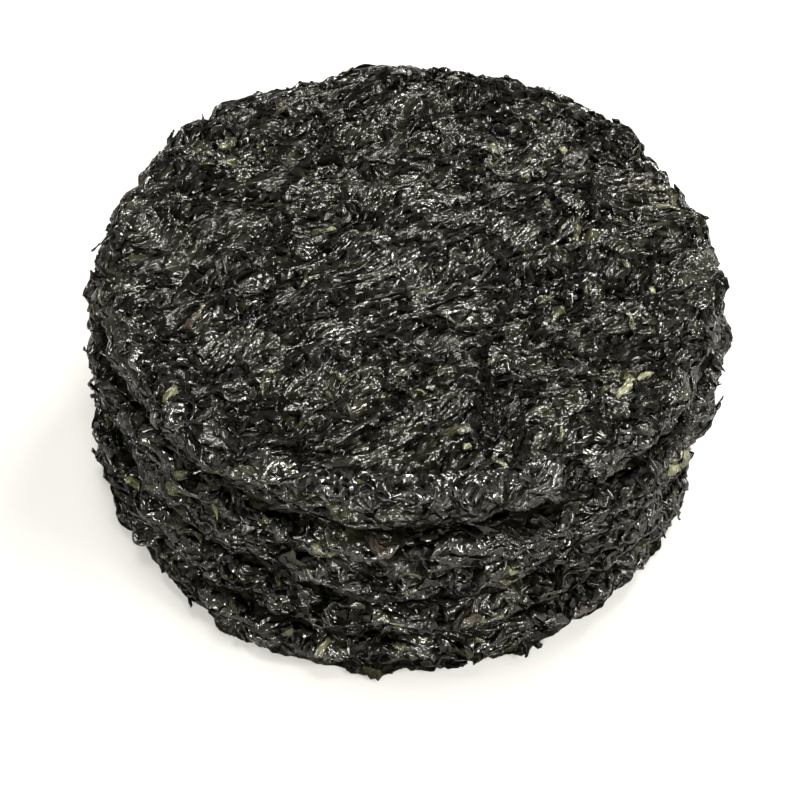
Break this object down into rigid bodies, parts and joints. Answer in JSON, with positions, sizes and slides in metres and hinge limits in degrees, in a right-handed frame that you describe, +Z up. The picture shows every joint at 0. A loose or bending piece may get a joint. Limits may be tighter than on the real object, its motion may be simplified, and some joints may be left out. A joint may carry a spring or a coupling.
{
  "type": "stack of dried purple laver cakes",
  "caption": "Stack of round pressed cakes of dried purple laver, near-black crinkled seaweed with ragged rolled rims, for soup and garnish.",
  "frame": {"origin": "middle of the underside of the stack, on the surface that it stands on", "axes": "+Z up through the stack; -Y towards the side seen from the front; +X to its right"},
  "size_m": [0.2034, 0.2076, 0.0823],
  "materials": {
    "dried_laver": "dry crinkled seaweed fronds, near black with an olive tint, with a broken silky gloss"
  },
  "bodies": {
    "root": {"laver_cake_1": "dried_laver", "laver_cake_2": "dried_laver", "laver_cake_3": "dried_laver", "laver_cake_4": "dried_laver", "laver_cake_5": "dried_laver"}
  },
  "joints": []
}
